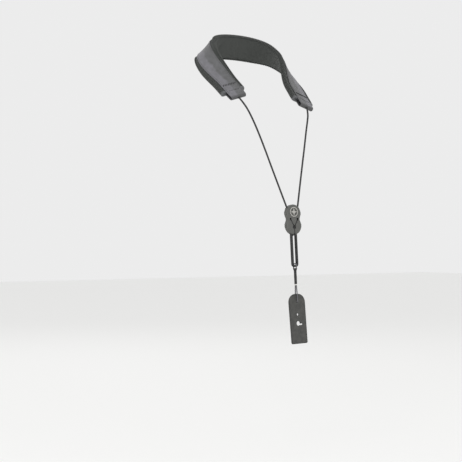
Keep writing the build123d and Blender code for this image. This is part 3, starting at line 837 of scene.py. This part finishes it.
def tape_point(end, way, i, j):
    """A point on an end tape, which closes over the pad's end as it tucks in."""
    reach, tuck = TAPE_STOPS[i]
    across, out = tape_outline[j]
    out = PAD_MIDDLE_OUT + (out - PAD_MIDDLE_OUT) * (1 - tuck / TAPE_HALF_THICK)
    return on_band(end + way * reach, across * (1 - tuck / TAPE_HALF_WIDTH * 0.6), out)


for word, end, way in (("right", RIGHT_END, -1), ("left", LEFT_END, 1)):
    tape_piece = rolled_piece(f"{word}_satin_end_tape", len(TAPE_STOPS) - 1, len(tape_outline),
                              partial(tape_point, end, way), satin)
    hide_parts(f"{word}_end_binding")
    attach(tape_piece, "neck_band")

# ---- leather strip ----
# One strip of grey split leather, 25 mm wide, runs the whole band and is sewn down along both
# edges. Each end folds back under itself and is stitched in, which makes the cord's tunnel.
STRIP_THICK = 1.2
STRIP_MIDDLE_OUT = 7.3
FOLD_REACH = 11.8
FOLD_MIDDLE_OUT = 4.7
FOLD_MIDDLE_RADIUS = 2.6
RETURN_LENGTH = 8.0
FOLD_BENDS = 10
RETURN_STEPS = 4
STRIP_STEP = 2.0
PULLED_FROM = 9.8

leather, taken, given = shader_group(
    "leather_grain",
    {"Pore scale": 900.0, "Crease amount": 0.5, "Light": (0.19, 0.19, 0.2),
     "Dark": (0.11, 0.11, 0.11)},
    ("Color", "Height", "Roughness"),
)
where = object_coordinates(leather)
pores = leather.nodes.new("ShaderNodeTexVoronoi")
pores.feature = "DISTANCE_TO_EDGE"
feed(leather, pores.inputs["Vector"], where)
feed(leather, pores.inputs["Scale"], taken["Pore scale"])
pebble = calculate(leather, "MULTIPLY", pores.outputs["Distance"], 4.0)
pebble = calculate(leather, "POWER", calculate(leather, "MINIMUM", pebble, 1.0), 0.5)
mottle = noise_value(leather, where, 160.0, 6.0, 0.62)
crease = calculate(leather, "MULTIPLY", mottle, taken["Crease amount"])
feed(leather, given["Height"], calculate(leather, "ADD", pebble, crease))
spread = calculate(leather, "MULTIPLY_ADD", mottle, 2.6, -0.8)
pore_shade = calculate(leather, "MULTIPLY_ADD", pebble, 0.35, 0.65)
spread = calculate(leather, "MULTIPLY", spread, pore_shade)
feed(leather, given["Color"], mix_colours(leather, spread, taken["Dark"], taken["Light"]))
feed(leather, given["Roughness"], calculate(leather, "MULTIPLY_ADD", mottle, 0.35, 0.35))


def fold_stop(centre, turn):
    """A stop on a fold's bend: how far along, how far out, and which way its outside faces."""
    along = centre + FOLD_MIDDLE_RADIUS * cos(turn)
    return along, FOLD_MIDDLE_OUT + FOLD_MIDDLE_RADIUS * sin(turn), cos(turn), sin(turn)


RETURN_OUT = FOLD_MIDDLE_OUT - FOLD_MIDDLE_RADIUS
RIGHT_FOLD = RIGHT_END - FOLD_REACH
LEFT_FOLD = LEFT_END + FOLD_REACH
ribbon = [(RIGHT_END + RETURN_LENGTH * (1 - k / RETURN_STEPS), RETURN_OUT, 0, -1)
          for k in range(RETURN_STEPS)]
ribbon += [(RIGHT_END - FOLD_REACH * k / RETURN_STEPS, RETURN_OUT, 0, -1)
           for k in range(RETURN_STEPS)]
bends = [pi * k / FOLD_BENDS for k in range(FOLD_BENDS + 1)]
ribbon += [fold_stop(RIGHT_FOLD, -pi / 2 - bend) for bend in bends]
long_steps = round((LEFT_FOLD - RIGHT_FOLD) / STRIP_STEP)
for k in range(1, long_steps):
    along = RIGHT_FOLD + (LEFT_FOLD - RIGHT_FOLD) * k / long_steps
    ribbon.append((along, STRIP_MIDDLE_OUT, 0, 1))
ribbon += [fold_stop(LEFT_FOLD, pi / 2 - bend) for bend in bends]
for k in range(1, 8):
    ribbon.append((LEFT_FOLD - (FOLD_REACH + RETURN_LENGTH) * k / 7, RETURN_OUT, 0, -1))
ribbon_run = [0.0]
for before, here in zip(ribbon, ribbon[1:]):
    step = sqrt((here[0] - before[0]) ** 2 + (here[1] - before[1]) ** 2)
    ribbon_run.append(ribbon_run[-1] + step)
right_fold_top = ribbon_run[2 * RETURN_STEPS + FOLD_BENDS]
left_fold_top = ribbon_run[2 * RETURN_STEPS + FOLD_BENDS + long_steps]


def smooth_ramp(tree, value, low, high):
    """A soft step from 0 at the low value to 1 at the high one."""
    ramp = tree.nodes.new("ShaderNodeMapRange")
    ramp.interpolation_type = "SMOOTHSTEP"
    tree.links.new(value, ramp.inputs["Value"])
    ramp.inputs["From Min"].default_value = low
    ramp.inputs["From Max"].default_value = high
    return ramp.outputs["Result"]


# The strip's colour carries painted sheen, a lighter band and a darker band with a border that
# drifts along it, and painted shade darkens the folds.
strip_leather, tree, shader = new_material("strip_leather")
grain = place_group(tree, leather, {
    "Pore scale": 1500.0, "Light": (0.185, 0.183, 0.195), "Dark": (0.125, 0.125, 0.128)
})
where, uv_x, uv_y = surface_coordinates(tree)
drift = tree.nodes.new("ShaderNodeTexNoise")
drift.noise_dimensions = "1D"
drift.inputs["Scale"].default_value = 0.06
drift.inputs["Detail"].default_value = 3.0
feed(tree, drift.inputs["W"], uv_y)
# Painted sheen: one side of the drifting border is tinted lighter, the other darker.
border = calculate(tree, "MULTIPLY_ADD", drift.outputs["Fac"], 9.0, 8.5)
sheen_side = smooth_ramp(tree, calculate(tree, "SUBTRACT", uv_x, border), -1.6, 1.6)
painted_sheen_tone = mix_colours(tree, sheen_side, (0.72, 0.73, 0.72), (1.08, 1.07, 1.12))
grain_and_painted_sheen = mix_colours(tree, 1.0, grain["Color"], painted_sheen_tone, "MULTIPLY")
# Painted shade: past each fold's top, over the fold and its return leg, the colour goes to dark
# grey.
past_right = calculate(tree, "SUBTRACT", right_fold_top, uv_y)
past_left = calculate(tree, "SUBTRACT", uv_y, left_fold_top)
painted_fold_shade = smooth_ramp(tree, calculate(tree, "MAXIMUM", past_right, past_left), -1.5, 2.4)
painted_fold_shade = calculate(tree, "MULTIPLY", painted_fold_shade, 0.8)
colour = mix_colours(tree, painted_fold_shade, grain_and_painted_sheen, (0.055, 0.055, 0.056))
finish_shader(tree, shader, colour, grain["Roughness"], grain["Height"], 0.35, 0.0002)
shader["Sheen Weight"].default_value = 0.05

strip_outline = rounded_outline(STRIP_HALF_WIDTH, -STRIP_THICK / 2, STRIP_THICK / 2, 0.45, 16)


def strip_place(i, j):
    """A point on the strip: narrower at the folds, soft and lower at the sewn edges on top."""
    along, out, way_along, way_out = ribbon[i]
    across, rise = strip_outline[j]
    past_end = max(along - LEFT_END, RIGHT_END - along, 0)
    narrow = 1 - 0.05 * (past_end / FOLD_REACH) ** 2
    if rise > 0 and abs(way_out) == 1 and out > FOLD_MIDDLE_OUT:
        rise += 0.12 * soft_noise(Vector((along * 0.09, across * 0.12, 0)))
        rise -= 0.18 * max(0, abs(across) - PULLED_FROM) / (STRIP_HALF_WIDTH - PULLED_FROM)
    return on_band(along + way_along * rise, across * narrow, out + way_out * rise)


work = bmesh.new()
rolled_grid(work, len(ribbon) - 1, len(strip_outline), strip_place)
uv = work.loops.layers.uv.verify()
work.verts.ensure_lookup_table()
row_layer = work.verts.layers.int["row"]
column_layer = work.verts.layers.int["column"]
for face in work.faces:
    for corner in face.loops:
        across, _ = strip_outline[corner.vert[column_layer]]
        corner[uv].uv = (across + STRIP_HALF_WIDTH, ribbon_run[corner.vert[row_layer]])
strip = new_piece("folded_leather_strip", work, strip_leather)
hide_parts("leather_strip")
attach(strip, "neck_band")

# ---- stitching on the strip ----
# Small lockstitches hold both edges of the strip. Each end has a bar tack of slanted black
# stitches over the return leg, and a lighter second row next to the fold.
seam_thread = thread_material("seam_thread", (0.07, 0.07, 0.07), 1.4, 0.6)
tack_thread = thread_material("tack_thread", (0.006, 0.006, 0.006), 1.4, 0.7)


def lay_stitch(work, along, across, out, half_sizes, slant, sides=6, rings=5):
    """A stitch lying on the strip: a stretched ball, turned by its slant and put onto the band."""
    ball = bmesh.ops.create_uvsphere(work, u_segments=sides, v_segments=rings, radius=1.0)["verts"]
    for vert in ball:
        x, y, z = vert.co.z * half_sizes[0], vert.co.y * half_sizes[1], vert.co.x * half_sizes[2]
        vert.co = on_band(along + x * cos(slant) - y * sin(slant),
                          across + x * sin(slant) + y * cos(slant), out + z)


EDGE_STITCH_PITCH = 2.4
EDGE_STITCH_ACROSS = 10.9
EDGE_STITCH_OUT = 7.88
EDGE_STITCH_SLANT = 0.08
EDGE_STITCH_OVERRUN = 6
EDGE_STITCH_SIZES = (0.85, 0.28, 0.24)
for word, way in (("upper", -1), ("lower", 1)):
    work = bmesh.new()
    start, end = RIGHT_END - EDGE_STITCH_OVERRUN, LEFT_END + EDGE_STITCH_OVERRUN
    stitches = round((end - start) / EDGE_STITCH_PITCH)
    for number in range(stitches):
        along = start + (number + 0.5) * (end - start) / stitches
        lay_stitch(work, along, way * EDGE_STITCH_ACROSS, EDGE_STITCH_OUT, EDGE_STITCH_SIZES,
                   way * EDGE_STITCH_SLANT)
    row = new_piece(f"{word}_strip_stitches", work, seam_thread)
    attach(row, "neck_band")

TACK_DISTANCE = 11.0
TACK_STITCHES = 8
TACK_PITCH = 2.657
TACK_SLANT = radians(34)
TACK_SIZES = (2.3, 0.44, 0.45)
TACK_OUT = 8.04
SECOND_ROW_DISTANCE = 1.2
SECOND_ROW_PITCH = TACK_PITCH * 0.9
SECOND_ROW_SIZES = (1.2, 0.32, 0.28)
SECOND_ROW_OUT = 7.94
for word, end, way in (("right", RIGHT_END, -1), ("left", LEFT_END, 1)):
    work = bmesh.new()
    slant = TACK_SLANT * way
    for number in range(TACK_STITCHES):
        across = (number - (TACK_STITCHES - 1) / 2) * TACK_PITCH
        lay_stitch(work, end - way * TACK_DISTANCE, across, TACK_OUT, TACK_SIZES, slant, 8, 7)
    for number in range(TACK_STITCHES - 1):
        across = (number - (TACK_STITCHES - 2) / 2) * SECOND_ROW_PITCH
        lay_stitch(work, end + way * SECOND_ROW_DISTANCE, across, SECOND_ROW_OUT,
                   SECOND_ROW_SIZES, slant)
    tack = new_piece(f"{word}_tack_stitches", work, tack_thread)
    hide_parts(f"{word}_bar_tack")
    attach(tack, "neck_band")

# ---- knotted cord tails ----
# Inside each fold the neck cord ends in a barrel knot that is too big for the cord hole. A
# short stub comes out through the hole to where the free cord starts.
KNOT_TURNS = 3.5
KNOT_STEPS = 56
KNOT_HALF_LENGTH = 2.9
KNOT_COIL = 0.72
KNOT_CORD_RADIUS = 0.85 * MM
KNOT_RING = 10
STUB_STOPS = (12.0, 13.5, 15.0, 16.2, 17.02)
HOLE_AT = 15.05
HOLE_SIZES = (1.75, 1.35)
RIM_RADIUS = 0.3 * MM
RIM_STEPS = 24
for word, end, way in (("right", RIGHT_END, -1), ("left", LEFT_END, 1)):
    work = bmesh.new()
    knot_path = []
    for k in range(KNOT_STEPS + 1):
        turn = tau * KNOT_TURNS * k / KNOT_STEPS
        along = end + way * (FOLD_REACH + KNOT_COIL * cos(turn))
        across = 2 * KNOT_HALF_LENGTH * k / KNOT_STEPS - KNOT_HALF_LENGTH
        knot_path.append(on_band(along, across, FOLD_MIDDLE_OUT + KNOT_COIL * sin(turn)))
    draw_tube(work, knot_path, KNOT_CORD_RADIUS, KNOT_RING, True, True)
    stub = [on_band(end + way * reach, 0, FOLD_MIDDLE_OUT) for reach in STUB_STOPS]
    draw_tube(work, stub, CORD_RADIUS, CORD_RING, False, True)
    tail = new_piece(f"{word}_cord_tail_and_knot", work, cord_braid)
    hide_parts(f"{word}_cord_knot")
    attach(tail, "neck_band")

    rim = []
    for k in range(RIM_STEPS + 1):
        turn = tau * k / RIM_STEPS
        out = FOLD_MIDDLE_OUT + HOLE_SIZES[1] * sin(turn)
        rim.append(on_band(end + way * HOLE_AT, HOLE_SIZES[0] * cos(turn), out))
    work = bmesh.new()
    draw_tube(work, rim, RIM_RADIUS, 8)
    eyelet = new_piece(f"{word}_hole_rim", work, tack_thread)
    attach(eyelet, "neck_band")

# ---- slider ----
# Injection-moulded in matt dark grey nylon, in two lobes with finger grips. The cords are
# threaded through it, and it grips them by friction, so it sets the strap's length.
edge_wear, taken, given = shader_group(
    "edge_wear", {"Nearness": 0.0, "Amount": 0.5}, ("Mask",)
)
rub = noise_value(edge_wear, object_coordinates(edge_wear), 420.0, 5.0)
broken = calculate(edge_wear, "MULTIPLY_ADD", rub, 1.6, -0.4)
mask = calculate(edge_wear, "MULTIPLY", taken["Nearness"], broken)
mask = calculate(edge_wear, "MULTIPLY", mask, taken["Amount"])
mask = calculate(edge_wear, "MAXIMUM", mask, 0.0)
feed(edge_wear, given["Mask"], calculate(edge_wear, "MINIMUM", mask, 1.0))


def chain_coordinates(tree):
    """Object coordinates turned into the slider's own leaning frame, as three sockets."""
    place = tree.nodes.new("ShaderNodeVectorMath")
    place.operation = "SUBTRACT"
    place.inputs[1].default_value = CHAIN_TOP * MM
    tree.links.new(object_coordinates(tree), place.inputs[0])
    turned = tree.nodes.new("ShaderNodeVectorRotate")
    turned.rotation_type = "X_AXIS"
    turned.inputs["Angle"].default_value = CHAIN_LEAN
    tree.links.new(place.outputs["Vector"], turned.inputs["Vector"])
    split = tree.nodes.new("ShaderNodeSeparateXYZ")
    tree.links.new(turned.outputs["Vector"], split.inputs[0])
    return split.outputs["X"], split.outputs["Y"], split.outputs["Z"]


def dress_cad(node, material):
    """Give a carried-over part its finish."""
    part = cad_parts[node]
    part.data.materials.clear()
    part.data.materials.append(material)


slider_nylon, tree, shader = new_material("slider_nylon")
x, y, z = chain_coordinates(tree)
where = object_coordinates(tree)
spark = noise_value(tree, where, 3200.0, 3.0)
cloud = noise_value(tree, where, 140.0, 4.0)
depth = calculate(tree, "ABSOLUTE", y)
sideways = calculate(tree, "ABSOLUTE", x)
proud = smooth_ramp(tree, depth, 0.0008, 0.0029)
rim_near = calculate(tree, "MULTIPLY", smooth_ramp(tree, sideways, 0.0096, 0.012), proud)
wear = place_group(tree, edge_wear, {"Nearness": rim_near, "Amount": 0.8})
nylon = mix_colours(tree, cloud, (0.072, 0.074, 0.068), (0.112, 0.112, 0.104))
worn = mix_colours(tree, wear["Mask"], nylon, (0.15, 0.15, 0.14))
# Painted shade: the sunken middle, where the V grooves run, is mixed towards near-black.
at_face = smooth_ramp(tree, depth, 0.0016, 0.003)
painted_groove_shade = mix_colours(tree, at_face, (0.02, 0.02, 0.019), worn)
outside = smooth_ramp(tree, sideways, 0.0062, 0.0085)
colour = mix_colours(tree, outside, painted_groove_shade, worn)
roughness = calculate(tree, "MULTIPLY_ADD", cloud, 0.22, 0.4)
finish_shader(tree, shader, colour, roughness, spark, 0.35, 0.00012)
dress_cad("slider_body", slider_nylon)

# ---- slider badge ----
# A bright stamped metal inlay, a plain star in a ring. It is pressed into the slider's upper
# lobe and brushed across.
badge_metal, tree, shader = new_material("badge_metal")
x, y, z = chain_coordinates(tree)
stretch = tree.nodes.new("ShaderNodeCombineXYZ")
feed(tree, stretch.inputs["X"], calculate(tree, "MULTIPLY", x, 400.0))
feed(tree, stretch.inputs["Z"], calculate(tree, "MULTIPLY", z, 9000.0))
brushing = noise_value(tree, stretch.outputs["Vector"], 1.0, 2.0)
colour = mix_colours(tree, brushing, (0.36, 0.355, 0.33), (0.58, 0.57, 0.54))
roughness = calculate(tree, "MULTIPLY_ADD", brushing, 0.25, 0.4)
finish_shader(tree, shader, colour, roughness, brushing, 0.2, 0.00005)
shader["Metallic"].default_value = 0.85
dress_cad("slider_badge", badge_metal)

# ---- cords in the slider ----
# Each cord runs down its shoulder bore, turns out of the window and lies in the V groove to
# the middle hole. The two fixed ends come out there and stop in a knot under the slider.
CHANNEL_Y = -1.98
THREADED_STOPS = (
    (9.13, 0, -4.23), (6.07, 0, -18.73), (4.76, CHANNEL_Y, -21.9), (1.32, CHANNEL_Y, -28.4),
    (0.9, CHANNEL_Y + 1.6, -30.2),
)
END_KNOT = (0.5, -41.3)
END_KNOT_SIZE = 0.42
END_KNOT_STEPS = 72
END_KNOT_CORD_RADIUS = 0.72 * MM
END_TAIL_STOPS = ((0.5, -30.6), (0.9, -31.6), (1, -33), (1, -36), (1, -39.4))
for word, way in (("right", -1), ("left", 1)):
    points = [on_chain(way * x, y, z) for x, y, z in THREADED_STOPS]
    path = smooth_line(f"{word}_threaded_line", points)
    piece = braided_tube(f"{word}_threaded_braid", path, CORD_RADIUS, cord_braid)
    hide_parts(f"{word}_threaded_cord")
    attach(piece, "slider")

for word, face in (("front", -1), ("back", 1)):
    work = bmesh.new()
    y = -face * CHANNEL_Y
    tail = [on_chain(0, y * share, z) * MM for share, z in END_TAIL_STOPS]
    draw_tube(work, tail, CORD_RADIUS, CORD_RING)
    knot_path = []
    for k in range(END_KNOT_STEPS + 1):
        t = tau * k / END_KNOT_STEPS
        x = END_KNOT[0] + END_KNOT_SIZE * (sin(t) + 2 * sin(2 * t))
        z = END_KNOT[1] + END_KNOT_SIZE * (cos(t) - 2 * cos(2 * t))
        knot_path.append(on_chain(x, y * 1.5 - 0.5 * sin(3 * t), z) * MM)
    draw_tube(work, knot_path, END_KNOT_CORD_RADIUS, KNOT_RING)
    knot = new_piece(f"{word}_stopper_knot", work, cord_braid)
    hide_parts(f"{word}_end_knot")
    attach(knot, "slider")

# ---- sleeve and ferrule ----
# Black shrink tubing holds the link cord's two strands together, and takes on their outline.
# A crimped bright ferrule closes its lower end.
SLEEVE_WALL = 0.45
SLEEVE_FLARE = 2.8
SLEEVE_RING = 28
SLEEVE_STEPS = 22
STRAND_HALF_THICK = 0.9
sleeve_rubber = grainy_material(
    "sleeve_rubber", (0.009, 0.009, 0.009), (0.017, 0.017, 0.017), 900, 0.0001, 0.5
)
sleeve_stops = [
    (SLEEVE_TOP + SLEEVE_FLARE - 0.3, 0.9), (SLEEVE_TOP + SLEEVE_FLARE, 1.05),
    (SLEEVE_TOP + SLEEVE_FLARE - 0.1, 1.2), (SLEEVE_TOP + 1.1, 0.6), (SLEEVE_TOP - 0.5, 0.03),
]
for k in range(1, SLEEVE_STEPS):
    z = SLEEVE_TOP - 0.5 + (SLEEVE_BOTTOM - SLEEVE_TOP + 1.0) * k / SLEEVE_STEPS
    sleeve_stops.append((z, 0.05 * sin(k * 0.9) * sin(k * 0.37)))
sleeve_stops += [
    (SLEEVE_BOTTOM + 0.5, 0.03), (SLEEVE_BOTTOM + 0.05, -0.05), (SLEEVE_BOTTOM, -0.2),
    (SLEEVE_BOTTOM + 0.25, -0.38),
]


def sleeve_place(i, j):
    """A point on the sleeve, drawn in between its two strands."""
    z, swell_here = sleeve_stops[i]
    turn = tau * j / SLEEVE_RING
    reach = STRAND_HALF_THICK + SLEEVE_WALL + swell_here
    waist = 0.14 * (sin(turn) ** 2) ** 3
    return on_chain((reach - waist) * sin(turn), (STRAND_GAP + reach) * cos(turn), z) * MM


sleeve = rolled_piece(
    "shrink_sleeve", len(sleeve_stops) - 1, SLEEVE_RING, sleeve_place, sleeve_rubber
)
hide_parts("link_sleeve")
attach(sleeve, "link")

ferrule_metal = grainy_material(
    "ferrule_metal", (0.72, 0.71, 0.68), (0.9, 0.9, 0.88), 1400, 0.00005, 0.3
)
ferrule_metal.node_tree.nodes["Principled BSDF"].inputs["Metallic"].default_value = 1.0
dress_cad("link_ferrule", ferrule_metal)

# ---- leather tab ----
# Thick dark pebbled leather with dyed, burnished edges. The link cord is reeved through its top
# hole, and the instrument's hook goes through the key-shaped hole.
TAB_LEAN = 0.0314
TAB_TAPER = 0.0045
SIDE_BURNISH = (0.0122, 0.01414)
FOOT_BURNISH = (0.186, 0.1876)
FACE_BURNISH = (0.0007, 0.00095)
tab_leather, tree, shader = new_material("tab_leather")
grain = place_group(tree, leather, {
    "Pore scale": 950.0, "Crease amount": 0.8,
    "Light": (0.079, 0.078, 0.072), "Dark": (0.036, 0.037, 0.034),
})
x, y, z = chain_coordinates(tree)
drift = calculate(tree, "MULTIPLY_ADD", z, TAB_LEAN, -LINK_HOLE * MM * TAB_LEAN)
from_middle = calculate(tree, "ABSOLUTE", calculate(tree, "ADD", x, drift))
taper = calculate(tree, "MULTIPLY", z, -TAB_TAPER)
sides = smooth_ramp(tree, calculate(tree, "ADD", from_middle, taper), *SIDE_BURNISH)
below = calculate(tree, "MULTIPLY_ADD", x, TAB_LEAN, calculate(tree, "MULTIPLY", z, -1.0))
foot = smooth_ramp(tree, below, *FOOT_BURNISH)
face = smooth_ramp(tree, calculate(tree, "ABSOLUTE", y), *FACE_BURNISH)
border = calculate(tree, "MAXIMUM", sides, foot)
border = calculate(tree, "MAXIMUM", border, calculate(tree, "SUBTRACT", 1.0, face))
border = calculate(tree, "MULTIPLY", border, 0.75)
colour = mix_colours(tree, border, grain["Color"], (0.02, 0.02, 0.019))
finish_shader(tree, shader, colour, grain["Roughness"], grain["Height"], 0.55, 0.00025)
dress_cad("leather_tab", tab_leather)
